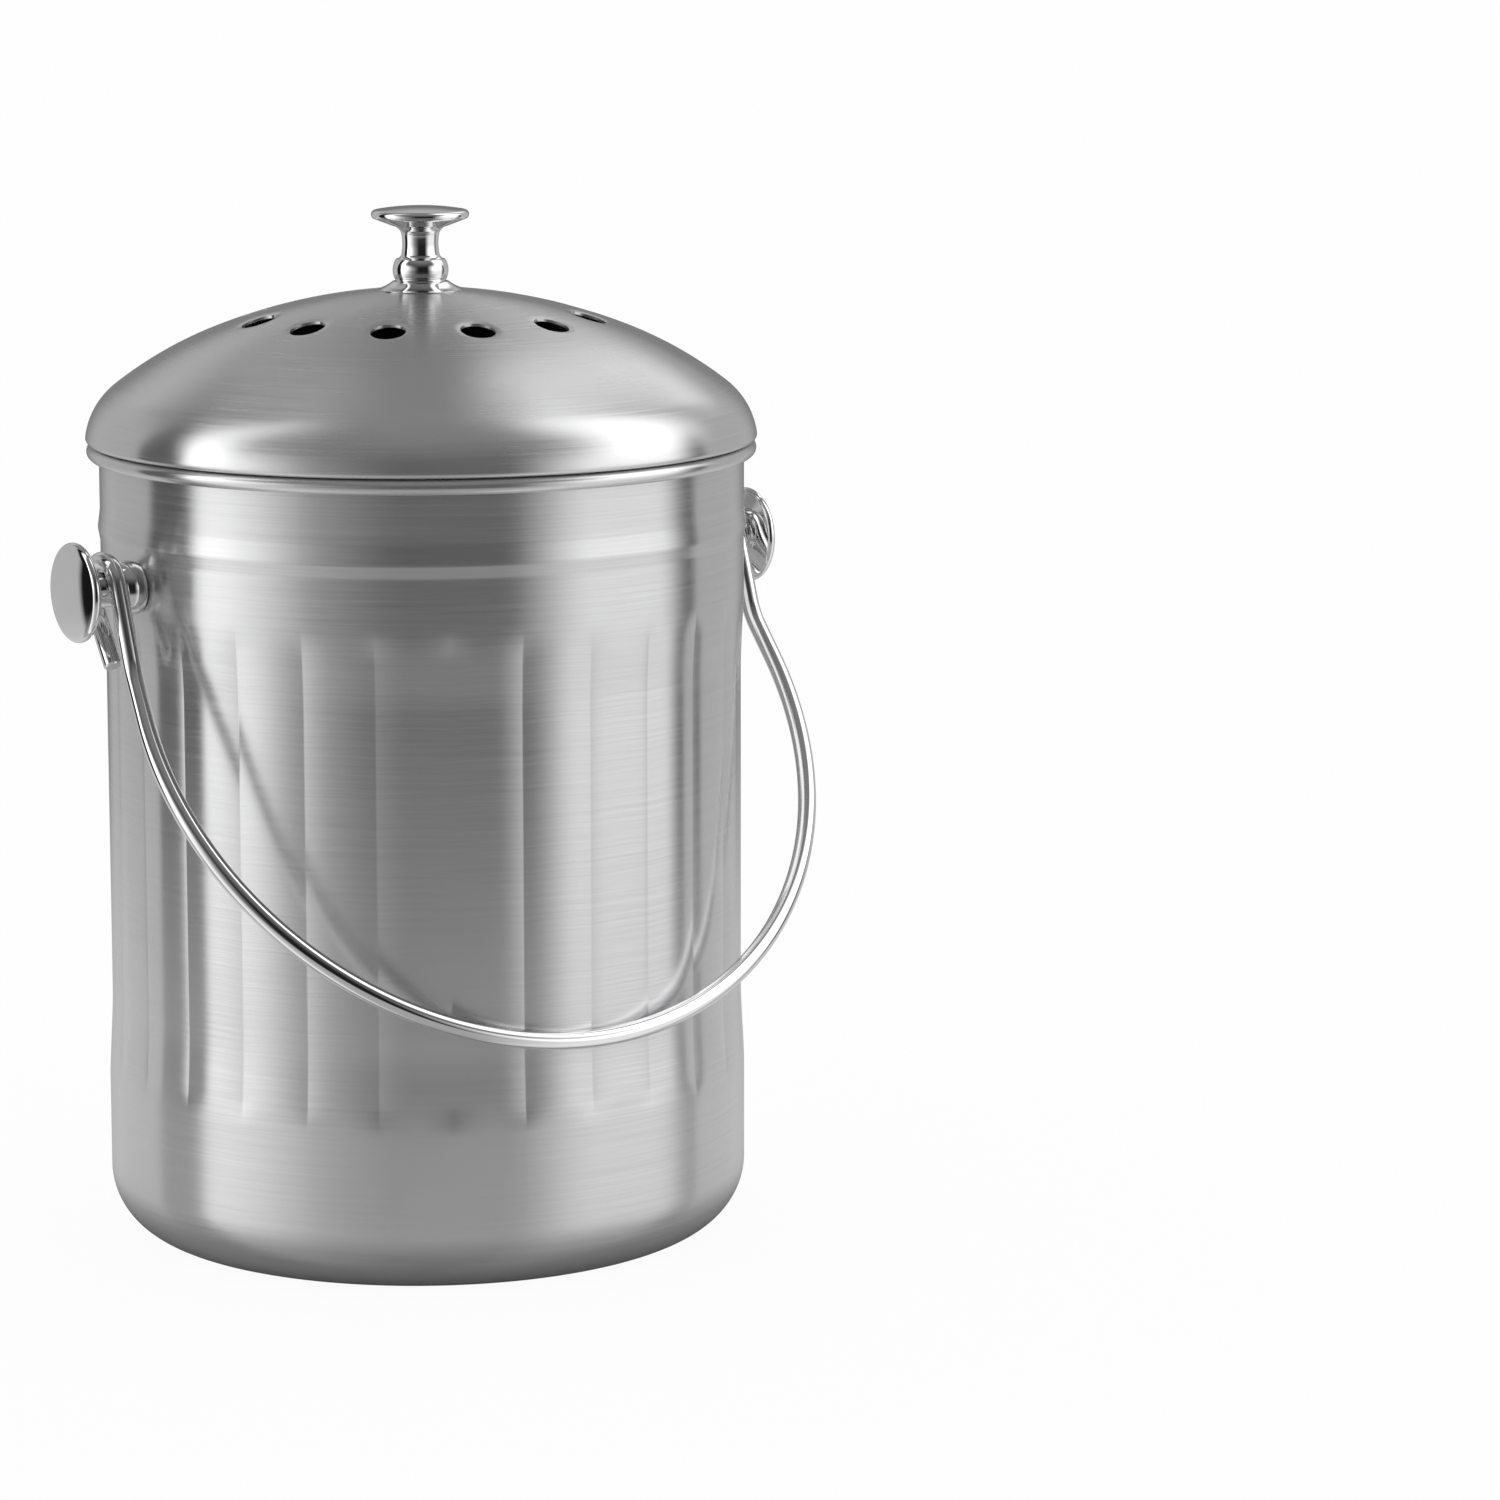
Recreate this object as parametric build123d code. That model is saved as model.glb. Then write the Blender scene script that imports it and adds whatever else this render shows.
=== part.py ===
from build123d import *
import os
from math import asin, cos, degrees, pi, radians, sin, sqrt

# ---------------------------------------------------------------- driving sizes, millimetres
# Frame: origin at the middle of the foot, +Z up, bail pivots on the X axis, bail hanging towards -Y.

# bucket
sheet_t = 0.7             # steel sheet of the bucket and the dome
band_r = 88.7             # outer radius of the plain bands above and below the flutes
corner_r = 19.0           # outer radius of the rounded bottom corner
foot_w = 7.0              # width of the flat ring that the bucket stands on
base_lift = 1.5           # how far the middle of the base is pressed up
base_slope_w = 3.0        # width of the sloping step round that middle
curl_r = 2.05             # outside radius of the rolled mouth rim
curl_turn = 300.0         # degrees that the rim's sheet turns through
mouth_z = 221.3           # top of the rolled rim

# flutes pressed into the bucket's wall
flute_count = 28
flute_z0 = 44.5           # where the creases begin
flute_line_gap = 13.4     # creases end this far below the raised line
flute_fade = 9.0          # height over which a crease grows to its depth
recess_h = 24.0           # height over which the fluted wall draws in from the plain band
flute_depth = 0.9         # crest of a panel below the band
panel_r = 49.0            # radius of each panel's own arc

# raised line under the rim
line_drop = 17.8          # its upper edge below the mouth
line_fall = 5.1           # crest below the upper edge
line_rise = 3.5           # crest above the lower edge
line_h = 0.6

# bail and the turned studs it swings on
pivot_drop = 34.3         # pivots below the mouth
wire_r = 2.5
bow_out = 11.3            # radius of the bail's round part beyond the band's
bow_drop = 48.5           # middle of the round part below the pivot, hanging
leg_lean = 5.0            # degrees that each leg leans in towards its eye
eye_out = 9.7             # plane of each eye beyond the band
eye_gap = 0.4             # running clearance of an eye on its stud
eye_wrap = 215.0          # degrees of wire round the stud
eye_tail = 10.0           # straight tail after the eye
bend_r = 22.0             # bend between a leg and its eye
rest_gap = 0.3            # wire off the wall where the bail leans on it

# the turned knob, also used as a bail stud: distances from its seat, then radii
knob_len = 20.6
knob_seat_r = 6.9
bead_mid = 3.0
bead_r = 7.65
bead_end = 6.1
bead_lip = 0.2            # bead's outer end in from the seat's radius
cove_w = 0.65             # small cove between bead and stem
cove_h = 0.5
stem_start = 7.6
stem_r = 5.0
stem_end = 13.0
stem_flare = 0.2          # stem's ends wider than its radius
stem_waist = 0.05         # stem's middle narrower than its radius
neck_cove_w = 0.9         # cove between stem and neck
neck_cove_h = 1.3
neck_end = 15.2
neck_r = 7.6
head_r = 13.45
head_under = 17.1
head_edge = 18.4
head_top = 19.5
edge_round = 0.9          # roundness of the head's edge
tap_len = 11.0            # depth of the threaded hole

# screws and washers
screw_r = 1.7
thread_gap = 0.05
screw_hole_gap = 0.2
screw_len = 10.0
screw_head_r = 4.0
screw_head_h = 2.2
screw_rim_h = 1.0         # straight rim of the head
drive_w = 0.9             # width of the cross in a screw head
drive_len = 4.4
drive_depth = 1.2
washer_r = 5.2
washer_t = 0.8

# lid dome
lid_over = 3.8            # lid's edge beyond the band
lip_gap = 0.3             # underside of the lid's lip over the rim
lip_bend = 1.3            # outside radius of the turned-in lip
lip_w = 4.1               # width of the turned-in lip
shoulder_r = 20.6
shoulder_drop = 1.3       # middle of the shoulder's arc below the lip's underside
shoulder_sweep = 52.0
flank_r = 108.0
flank_end = 68.0
vent_count = 12
vent_r = 4.8
vent_ring_r = 46.5
vent_phase = 19.1         # degrees from +X to the first vent
collar_r = 11.8
collar_top_r = 7.9
collar_mid_r = 9.3        # a point on the collar's flare, and its share of the height
collar_mid_share = 0.55
collar_h = 2.0

# plug ring under the dome
ring_t = 0.6
mouth_gap = 0.8           # plug ring inside the mouth
flange_in = 1.5           # ring's flange inside the lid's edge
seat_gap = 0.05           # faces that lie on each other
plug_depth = 12.0         # lip underside to the seam
step_gap = 0.3            # retainer's skirt round the stepped-in ring
step_h = 0.8
step_lap = 0.3            # outside of the step starts this much higher

# filter retainer and the charcoal pad
skirt_h = 4.1
seam_gap = 0.4
tray_corner_r = 1.8
window_r = 51.0
hem_w = 3.2
pad_side_gap = 2.2        # pad inside the ring's stepped-in end
pad_t = 9.0
pad_gap = 0.3
pad_edge_r = 1.5

cut_over = 4.0            # cutters run past the metal by this much

# ---------------------------------------------------------------- sizes that follow
wall_in_r = band_r - sheet_t
curl_mid_r = curl_r - sheet_t / 2
curl_x = band_r - sheet_t / 2 + curl_mid_r
curl_z = mouth_z - curl_r
crest_r = band_r - flute_depth
half_panel = pi / flute_count
line_z1 = mouth_z - line_drop
line_crest_z = line_z1 - line_fall
line_z0 = line_crest_z - line_rise
flute_z1 = line_z0 - flute_line_gap
pivot_z = mouth_z - pivot_drop
foot_r = band_r - corner_r
bow_r = band_r + bow_out
bail_reach = bow_r + bow_drop
eye_x = band_r + eye_out
lid_r = band_r + lid_over
lip_inner_r = lid_r - lip_w
flange_r = lid_r - flange_in
lip_z = mouth_z + lip_gap
dome_z = lip_z - shoulder_drop
lip_turn = asin((shoulder_drop + lip_bend) / (shoulder_r - lip_bend))
lip_x = lid_r - shoulder_r + (shoulder_r - lip_bend) * cos(lip_turn)
plug_r = wall_in_r - mouth_gap
ring_seat_z = lip_z + sheet_t + seat_gap
seam_z = lip_z - plug_depth
step_r = plug_r - ring_t - step_gap
pad_r = step_r - ring_t - pad_side_gap
tray_z = seam_z - seam_gap - skirt_h
ring_end_z = tray_z + tray_corner_r
pad_z = tray_z + 2 * ring_t + pad_gap
eye_r = stem_r + eye_gap + wire_r
bail_lean = degrees(asin((crest_r + wire_r + rest_gap) / bail_reach))
washer_x = sqrt(wall_in_r ** 2 - washer_r ** 2)
bore_r = screw_r + thread_gap
hole_r = screw_r + screw_hole_gap


def revolved(*edges):
    """A solid of revolution about Z from a closed outline in the XZ plane."""
    outline = Plane.XZ * make_face(Wire(list(edges)))
    return revolve(outline, Axis.Z)


def chain(*points):
    """Straight edges through the points."""
    return [Line(a, b).edge() for a, b in zip(points, points[1:])]


def arc3(start, middle, end):
    """One arc through three points."""
    return ThreePointArc(start, middle, end).edge()


def on_circle(centre, radius, angle):
    """The point of a circle at an angle in degrees."""
    a = radians(angle)
    return (centre[0] + radius * cos(a), centre[1] + radius * sin(a))


def arc_at(centre, radius, start, end):
    """An arc of a circle from one angle to another, in degrees."""
    middle = (start + end) / 2
    return arc3(*(on_circle(centre, radius, a) for a in (start, middle, end)))


# ---------------------------------------------------------------- bucket
def fluted_wire(inset, z, recess, creased):
    """The bucket's outline at a height, drawn in from the band, plain or with its creases."""
    bulge = band_r - recess - inset
    valley = bulge
    if creased:
        centre = band_r - recess - panel_r
        radius = panel_r - inset
        valley = centre * cos(half_panel) + sqrt(radius ** 2 - (centre * sin(half_panel)) ** 2)
    edges = []
    for i in range(flute_count):
        a = 2 * half_panel * i
        ends = [Vector(valley * cos(b), valley * sin(b), z) for b in (a, a + 2 * half_panel)]
        middle = Vector(bulge * cos(a + half_panel), bulge * sin(a + half_panel), z)
        edges.append(ThreePointArc(ends[0], middle, ends[1]).edge())
    return Wire(edges)


def fluted_core(inset):
    """The fluted height of the wall as a solid, plain at both ends."""
    recess = flute_depth * flute_fade / recess_h
    steps = [(0, 0, False), (flute_fade, recess, True), (recess_h, flute_depth, True)]
    wires = [fluted_wire(inset, flute_z0 + h, r, creased) for h, r, creased in steps]
    wires += [fluted_wire(inset, flute_z1 - h, r, creased) for h, r, creased in reversed(steps)]
    return [Solid.make_loft([a, b], True) for a, b in zip(wires, wires[1:])]


def fluted_wall():
    """The pressed wall between the two plain bands."""
    outer = Part() + fluted_core(0)
    inner = Part() + fluted_core(sheet_t)
    return outer - inner


def upper_band():
    """Plain band, raised line and the rolled rim."""
    centre = (curl_x, curl_z)
    end_angle = 180 - curl_turn
    outer_end = on_circle(centre, curl_r, end_angle)
    inner_end = on_circle(centre, curl_r - sheet_t, end_angle)
    inside = [(wall_in_r, flute_z1), (wall_in_r, line_z0), (wall_in_r + line_h, line_crest_z)]
    inside += [(wall_in_r, line_z1), (wall_in_r, curl_z)]
    outside = [(band_r, curl_z), (band_r, line_z1), (band_r + line_h, line_crest_z)]
    outside += [(band_r, line_z0), (band_r, flute_z1), (wall_in_r, flute_z1)]
    return revolved(
        *chain(*inside),
        arc_at(centre, curl_r, 180, end_angle),
        *chain(outer_end, inner_end),
        arc_at(centre, curl_r - sheet_t, end_angle, 180),
        *chain(*outside),
    )


def lower_band():
    """Plain band, rounded corner, foot ring and the lifted middle of the base."""
    centre = (foot_r, corner_r)
    foot_in = foot_r - foot_w
    lift_r = foot_in - base_slope_w
    under = [(foot_r, 0), (foot_in, 0), (lift_r, base_lift), (0, base_lift), (0, base_lift + sheet_t)]
    over = [(0, base_lift + sheet_t), (lift_r, base_lift + sheet_t), (foot_in, sheet_t), (foot_r, sheet_t)]
    return revolved(
        *chain((wall_in_r, flute_z0), (band_r, flute_z0), (band_r, corner_r)),
        arc_at(centre, corner_r, 0, -90),
        *chain(*under),
        *chain(*over),
        arc_at(centre, corner_r - sheet_t, -90, 0),
        *chain((wall_in_r, corner_r), (wall_in_r, flute_z0)),
    )


def bucket_shell():
    """The drawn bucket with its two stud holes."""
    shell = lower_band() + fluted_wall() + upper_band()
    drill = Plane((0, 0, pivot_z), z_dir=(1, 0, 0)) * Cylinder(hole_r, 2 * (band_r + cut_over))
    return shell - drill


# ---------------------------------------------------------------- turned knob, screws, washers
def turned_knob():
    """The knob standing on the XY plane: bead, waisted stem and button head, with its threaded hole."""
    bead_end_r = knob_seat_r - bead_lip
    stem_end_r = stem_r + stem_flare
    stem_mid = (stem_start + stem_end) / 2
    edge_r = head_r - edge_round
    seat = chain((0, 0), (knob_seat_r, 0))
    bead = arc3((knob_seat_r, 0), (bead_r, bead_mid), (bead_end_r, bead_end))
    cove = arc3((bead_end_r, bead_end), (stem_r + cove_w, bead_end + cove_h), (stem_end_r, stem_start))
    stem = arc3((stem_end_r, stem_start), (stem_r - stem_waist, stem_mid), (stem_end_r, stem_end))
    neck_mid = (stem_r + neck_cove_w, stem_end + neck_cove_h)
    neck = arc3((stem_end_r, stem_end), neck_mid, (neck_r, neck_end))
    under = chain((neck_r, neck_end), (edge_r, head_under))
    edge = arc3((edge_r, head_under), (head_r, head_edge), (edge_r, head_top))
    crown_h = knob_len - head_top
    crown_r = (edge_r ** 2 + crown_h ** 2) / (2 * crown_h)
    crown_turn = degrees(asin(edge_r / crown_r))
    crown = arc_at((0, knob_len - crown_r), crown_r, 90 - crown_turn, 90)
    axis = chain((0, knob_len), (0, 0))
    body = revolved(*seat, bead, cove, stem, neck, *under, edge, crown, *axis)
    return body - Pos(0, 0, tap_len / 2) * Cylinder(bore_r, tap_len)


def screw():
    """A pan-head screw, head under the XY plane and shank up, with a cross drive."""
    shank = Pos(0, 0, screw_len / 2) * Cylinder(screw_r, screw_len)
    dome_h = screw_head_h - screw_rim_h
    dome_r = (screw_head_r ** 2 + dome_h ** 2) / (2 * dome_h)
    dome_turn = degrees(asin(screw_head_r / dome_r))
    head = revolved(
        *chain((0, 0), (screw_head_r, 0), (screw_head_r, -screw_rim_h)),
        arc_at((0, dome_r - screw_head_h), dome_r, dome_turn - 90, -90),
        *chain((0, -screw_head_h), (0, 0)),
    )
    cross = Pos(0, 0, -screw_head_h) * (
        Box(drive_len, drive_w, 2 * drive_depth) + Box(drive_w, drive_len, 2 * drive_depth)
    )
    return shank + head - cross


def washer():
    """A flat washer lying on the XY plane."""
    return Pos(0, 0, washer_t / 2) * (Cylinder(washer_r, washer_t) - Cylinder(hole_r, washer_t))


def side_place(side, x):
    """A place on the pivot axis at a distance from the middle, facing out on that side."""
    return Location(Plane((side * x, 0, pivot_z), x_dir=(0, 1, 0), z_dir=(side, 0, 0)))


# ---------------------------------------------------------------- bail
def half_bail_path(side):
    """The wire's middle line from the bottom of the bow to the cut end beyond one eye."""
    bow_z = bow_r - bail_reach
    lean = radians(leg_lean)
    leg_start = Vector(side * bow_r * cos(lean), 0, bow_z + bow_r * sin(lean))
    run = (bow_r * cos(lean) - eye_x) / sin(lean)
    corner = leg_start + Vector(-side * sin(lean), 0, cos(lean)) * run
    reach = -corner.Z
    touch = asin(eye_r / reach)
    wrap_start = -degrees(touch)
    wrap_end = wrap_start + eye_wrap

    def on_eye(angle):
        a = radians(angle)
        return Vector(side * eye_x, -eye_r * cos(a), eye_r * sin(a))

    bow_middle = Vector(side * bow_r * sin(pi / 4), 0, bow_z - bow_r * cos(pi / 4))
    bow = ThreePointArc(Vector(0, 0, -bail_reach), bow_middle, leg_start).edge()
    bend = FilletPolyline(leg_start, corner, on_eye(wrap_start), radius=bend_r).edges()
    eye = ThreePointArc(
        on_eye(wrap_start), on_eye((wrap_start + wrap_end) / 2), on_eye(wrap_end)
    ).edge()
    a = radians(wrap_end)
    tail_end = on_eye(wrap_end) + Vector(0, sin(a), cos(a)) * eye_tail
    tail = Line(on_eye(wrap_end), tail_end).edge()
    return Wire([bow, *bend, eye, tail])


def bail_handle():
    """The bent wire, leaning on the front of the bucket."""
    halves = []
    for side in (-1, 1):
        path = half_bail_path(side)
        section = Plane((0, 0, -bail_reach), z_dir=(side, 0, 0)) * Circle(wire_r)
        halves.append(sweep(section, path))
    return Pos(0, 0, pivot_z) * Rot(-bail_lean, 0, 0) * (halves[0] + halves[1])


# ---------------------------------------------------------------- lid
def dome_arcs(inset):
    """Centres and radii of the dome's shoulder, flank and cap, drawn in by the sheet."""
    shoulder = (lid_r - shoulder_r, dome_z)
    a = radians(shoulder_sweep)
    flank = (
        shoulder[0] + (shoulder_r - flank_r) * cos(a),
        shoulder[1] + (shoulder_r - flank_r) * sin(a),
    )
    b = radians(flank_end)
    cap_r = flank_r + flank[0] / cos(b)
    cap = (0, flank[1] + (flank_r - cap_r) * sin(b))
    return [(shoulder, shoulder_r - inset), (flank, flank_r - inset), (cap, cap_r - inset)]


def dome_side(inset):
    """The three tangent arcs from the lip up to the axis."""
    (s, sr), (f, fr), (c, cr) = dome_arcs(inset)
    return [
        arc_at(s, sr, degrees(lip_turn), shoulder_sweep),
        arc_at(f, fr, shoulder_sweep, flank_end),
        arc_at(c, cr, flank_end, 90),
    ]


def dome_height(radius, inset):
    """Height of the cap at a radius."""
    (_, _), (_, _), (c, cr) = dome_arcs(inset)
    return c[1] + sqrt(cr ** 2 - radius ** 2)


def lid_dome():
    """The domed lid with its turned-in lip, screw hole and ring of vents."""
    centre = (lip_x, lip_z + lip_bend)
    outer = dome_side(0)
    inner = dome_side(sheet_t)
    top = chain((0, dome_height(0, 0)), (0, dome_height(0, sheet_t)))
    lip = chain(
        (lip_x, lip_z),
        (lip_inner_r, lip_z),
        (lip_inner_r, lip_z + sheet_t),
        (lip_x, lip_z + sheet_t),
    )
    dome = revolved(
        arc_at(centre, lip_bend, -90, degrees(lip_turn)),
        *outer,
        *top,
        *inner,
        arc_at(centre, lip_bend - sheet_t, -90, degrees(lip_turn)),
        *lip,
    )
    top_z = dome_height(0, 0)
    dome -= Pos(0, 0, top_z) * Cylinder(hole_r, 2 * cut_over)
    vents = PolarLocations(vent_ring_r, vent_count, vent_phase)
    drop = top_z - dome_height(vent_ring_r, 0)
    return dome - Pos(0, 0, top_z - drop) * vents * Cylinder(vent_r, 2 * cut_over)


def knob_collar():
    """The flared collar between the dome and the knob, hollowed to the dome's curve."""
    foot_z = dome_height(collar_r, 0) + seat_gap
    top_z = dome_height(0, 0) + collar_h
    mid_z = foot_z + (top_z - foot_z) * collar_mid_share
    flare = revolved(
        *chain((0, foot_z), (collar_r, foot_z)),
        arc3((collar_r, foot_z), (collar_mid_r, mid_z), (collar_top_r, top_z)),
        *chain((collar_top_r, top_z), (0, top_z), (0, foot_z)),
    )
    (_, _), (_, _), (c, cr) = dome_arcs(0)
    flare -= Pos(0, 0, c[1]) * Sphere(cr + seat_gap)
    return flare - Pos(0, 0, top_z) * Cylinder(hole_r, 2 * cut_over)


def lid_plug_ring():
    """The ring that drops into the mouth: flange on the lip, straight wall, stepped-in end."""
    inner = plug_r - ring_t
    step_in = step_r - ring_t
    step_z = seam_z - step_h
    return revolved(
        *chain(
            (flange_r, ring_seat_z),
            (flange_r, ring_seat_z + ring_t),
            (inner, ring_seat_z + ring_t),
            (inner, seam_z),
            (step_in, step_z),
            (step_in, ring_end_z),
            (step_r, ring_end_z),
            (step_r, step_z + step_lap),
            (plug_r, seam_z),
            (plug_r, ring_seat_z),
            (flange_r, ring_seat_z),
        )
    )


def filter_retainer():
    """The cap that holds the pad: plate with a hemmed window, rolled corner and skirt."""
    centre = (plug_r - tray_corner_r, tray_z + tray_corner_r)
    skirt_z = seam_z - seam_gap
    hem = ring_t
    inner = plug_r - ring_t
    return revolved(
        *chain((plug_r, skirt_z), (inner, skirt_z), (inner, centre[1])),
        arc_at(centre, tray_corner_r - ring_t, 0, -90),
        *chain(
            (centre[0], tray_z + ring_t),
            (window_r + hem_w, tray_z + ring_t),
            (window_r + hem_w, tray_z + 2 * ring_t),
            (window_r + hem, tray_z + 2 * ring_t),
        ),
        arc_at((window_r + hem, tray_z + hem), hem, 90, 270),
        *chain((window_r + hem, tray_z), (centre[0], tray_z)),
        arc_at(centre, tray_corner_r, -90, 0),
        *chain((plug_r, centre[1]), (plug_r, skirt_z)),
    )


def charcoal_filter():
    """The round pad of carbon foam, with softened edges."""
    pad = Pos(0, 0, pad_z + pad_t / 2) * Cylinder(pad_r, pad_t)
    return fillet(pad.edges().filter_by(GeomType.CIRCLE), pad_edge_r)


# ---------------------------------------------------------------- all pieces
def pieces():
    """Every separate piece by its name."""
    made = {"bucket_shell": bucket_shell(), "bail_handle": bail_handle()}
    for name, side in (("left", -1), ("right", 1)):
        made[f"{name}_stud"] = side_place(side, band_r) * turned_knob()
        made[f"{name}_stud_washer"] = side_place(side, washer_x - washer_t) * washer()
        made[f"{name}_stud_screw"] = side_place(side, washer_x - washer_t) * screw()
    knob_z = dome_height(0, 0) + collar_h
    under_z = dome_height(washer_r, sheet_t) - washer_t
    made["lid_dome"] = lid_dome()
    made["knob_collar"] = knob_collar()
    made["lid_knob"] = Pos(0, 0, knob_z) * turned_knob()
    made["knob_washer"] = Pos(0, 0, under_z) * washer()
    made["knob_screw"] = Pos(0, 0, under_z) * screw()
    made["lid_plug_ring"] = lid_plug_ring()
    made["filter_retainer"] = filter_retainer()
    made["charcoal_filter"] = charcoal_filter()
    return made


os.makedirs("parts", exist_ok=True)
for name, shape in pieces().items():
    export_step(shape, f"parts/{name}.step")
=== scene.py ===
"""Compost caddy in brushed and polished steel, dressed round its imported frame.

The frame gives the bodies, the boxes of the pieces and the screws and washers, which stay as they are. Each
sub-assembly below is a class that holds its own sizes in millimetres, builds finely curved skins in place of the
frame's coarse pieces and gives them their finish.
"""

import logging
import math
from collections.abc import Callable, Sequence
from dataclasses import dataclass, field, replace
from enum import Enum
from typing import Any

import bmesh
import bpy
from mathutils import Matrix, Vector

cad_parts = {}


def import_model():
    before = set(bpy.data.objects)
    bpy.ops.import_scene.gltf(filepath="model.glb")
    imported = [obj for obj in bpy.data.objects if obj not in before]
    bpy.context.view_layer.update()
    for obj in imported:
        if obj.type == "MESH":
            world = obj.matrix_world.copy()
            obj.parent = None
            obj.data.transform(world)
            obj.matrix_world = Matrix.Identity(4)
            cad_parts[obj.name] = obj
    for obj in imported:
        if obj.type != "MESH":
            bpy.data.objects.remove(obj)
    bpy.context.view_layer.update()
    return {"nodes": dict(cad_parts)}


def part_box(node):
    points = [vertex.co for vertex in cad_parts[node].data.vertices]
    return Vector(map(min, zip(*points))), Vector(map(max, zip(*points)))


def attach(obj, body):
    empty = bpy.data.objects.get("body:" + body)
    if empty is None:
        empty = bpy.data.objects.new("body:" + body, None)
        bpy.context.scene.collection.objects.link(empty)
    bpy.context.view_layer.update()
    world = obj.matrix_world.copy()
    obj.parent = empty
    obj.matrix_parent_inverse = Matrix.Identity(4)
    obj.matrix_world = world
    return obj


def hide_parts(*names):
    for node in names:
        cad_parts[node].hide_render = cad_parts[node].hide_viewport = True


LOG = logging.getLogger("caddy")
MM = 0.001
PIVOT_Z = 187.0  # height of the bail's pivots in millimetres
SHARP_TURN = math.radians(38.0)  # an edge that turns further than this is drawn sharp
SAME_PLACE = 1e-5  # millimetres between two points that count as one
ON_AXIS = 1e-6  # millimetres from the axis that count as none
NOISE_SWING = 0.25  # how far noise mostly strays from its middle of 0.5
WHITE = (1.0, 1.0, 1.0, 1.0)
Point = tuple[float, float]


# ------------------------------------------------------------------ shader expressions
class Signal:
    """A socket that numbers and other sockets can be added to, multiplied with and so on."""

    def __init__(self, tree: bpy.types.NodeTree, socket: bpy.types.NodeSocket) -> None:
        """Wraps one output socket of a tree."""
        self.tree = tree
        self.socket = socket

    def _math(self, operation: str, *values: Any, clamp: bool = False) -> "Signal":
        """Adds one Math node.

        Args:
            operation: The node's operation.
            values: Numbers or signals, in the order of the node's inputs.
            clamp: Whether the result is held between 0 and 1.

        Returns:
            The node's result.
        """
        settings = {"operation": operation, "use_clamp": clamp}
        return node(self.tree, "ShaderNodeMath", settings, dict(enumerate(values)))

    def __add__(self, other: Any) -> "Signal":
        """Sum."""
        return self._math("ADD", self, other)

    def __radd__(self, other: Any) -> "Signal":
        """Reflected sum."""
        return self._math("ADD", other, self)

    def __sub__(self, other: Any) -> "Signal":
        """Difference."""
        return self._math("SUBTRACT", self, other)

    def __rsub__(self, other: Any) -> "Signal":
        """Reflected difference."""
        return self._math("SUBTRACT", other, self)

    def __mul__(self, other: Any) -> "Signal":
        """Product."""
        return self._math("MULTIPLY", self, other)

    def __rmul__(self, other: Any) -> "Signal":
        """Reflected product."""
        return self._math("MULTIPLY", other, self)

    def __truediv__(self, other: Any) -> "Signal":
        """Quotient."""
        return self._math("DIVIDE", self, other)

    def __rtruediv__(self, other: Any) -> "Signal":
        """Reflected quotient."""
        return self._math("DIVIDE", other, self)

    def __pow__(self, other: Any) -> "Signal":
        """Power."""
        return self._math("POWER", self, other)

    def held(self) -> "Signal":
        """The value held between 0 and 1."""
        return self._math("ADD", self, 0.0, clamp=True)

    def __abs__(self) -> "Signal":
        """Size without sign."""
        return self._math("ABSOLUTE", self)

    def bearing(self, other: "Signal") -> "Signal":
        """Degrees from this signal's axis towards the other's, -180 to 180."""
        return self._math("ARCTAN2", other, self) * math.degrees(1.0)

    def at_least(self, low: float) -> "Signal":
        """The larger of the value and a limit."""
        return self._math("MAXIMUM", self, low)

    def beside(self, out: Any) -> "Signal":
        """Another output of the node that this one comes from."""
        return Signal(self.tree, self.socket.node.outputs[out])

    def into(self, shader: bpy.types.Node, name: str) -> None:
        """Links the signal to a socket of a shader."""
        self.tree.links.new(self.socket, shader.inputs[name])

    def ramp(self, start: float, end: float) -> "Signal":
        """A smooth rise from 0 at start to 1 at end, or a fall where end is the lower.

        Args:
            start: Value at which the result is 0.
            end: Value at which the result is 1.

        Returns:
            The eased value.
        """
        t = self._math("DIVIDE", self - start, end - start, clamp=True)
        return t * t * (3.0 - 2.0 * t)


def placed(
    tree: bpy.types.NodeTree, kind: str, settings: dict[str, Any], inputs: dict[Any, Any]
) -> bpy.types.Node:
    """Adds one node to a tree.

    Args:
        tree: The tree that gets the node.
        kind: The node's type.
        settings: Its properties, set before the sockets.
        inputs: Values or signals by socket name or number.

    Returns:
        The node.
    """
    made = tree.nodes.new(kind)
    for key, value in settings.items():
        setattr(made, key, value)
    for key, value in inputs.items():
        if isinstance(value, Signal):
            tree.links.new(value.socket, made.inputs[key])
        else:
            made.inputs[key].default_value = value
    return made


def node(
    tree: bpy.types.NodeTree, kind: str, settings: dict[str, Any], inputs: dict[Any, Any], out: Any = 0
) -> Signal:
    """Adds one node to a tree and takes an output of it.

    Args:
        tree: The tree that gets the node.
        kind: The node's type.
        settings: Its properties.
        inputs: Values or signals by socket name or number.
        out: Name or number of the output that is wanted.

    Returns:
        The wanted output.
    """
    return Signal(tree, placed(tree, kind, settings, inputs).outputs[out])


def own_place(tree: bpy.types.NodeTree) -> Signal:
    """The place on the piece itself, in metres."""
    return node(tree, "ShaderNodeTexCoord", {}, {}, "Object")


def split(tree: bpy.types.NodeTree, vector: Signal) -> tuple[Signal, Signal, Signal]:
    """The three parts of a vector."""
    x = node(tree, "ShaderNodeSeparateXYZ", {}, {0: vector})
    return x, x.beside(1), x.beside(2)


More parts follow.
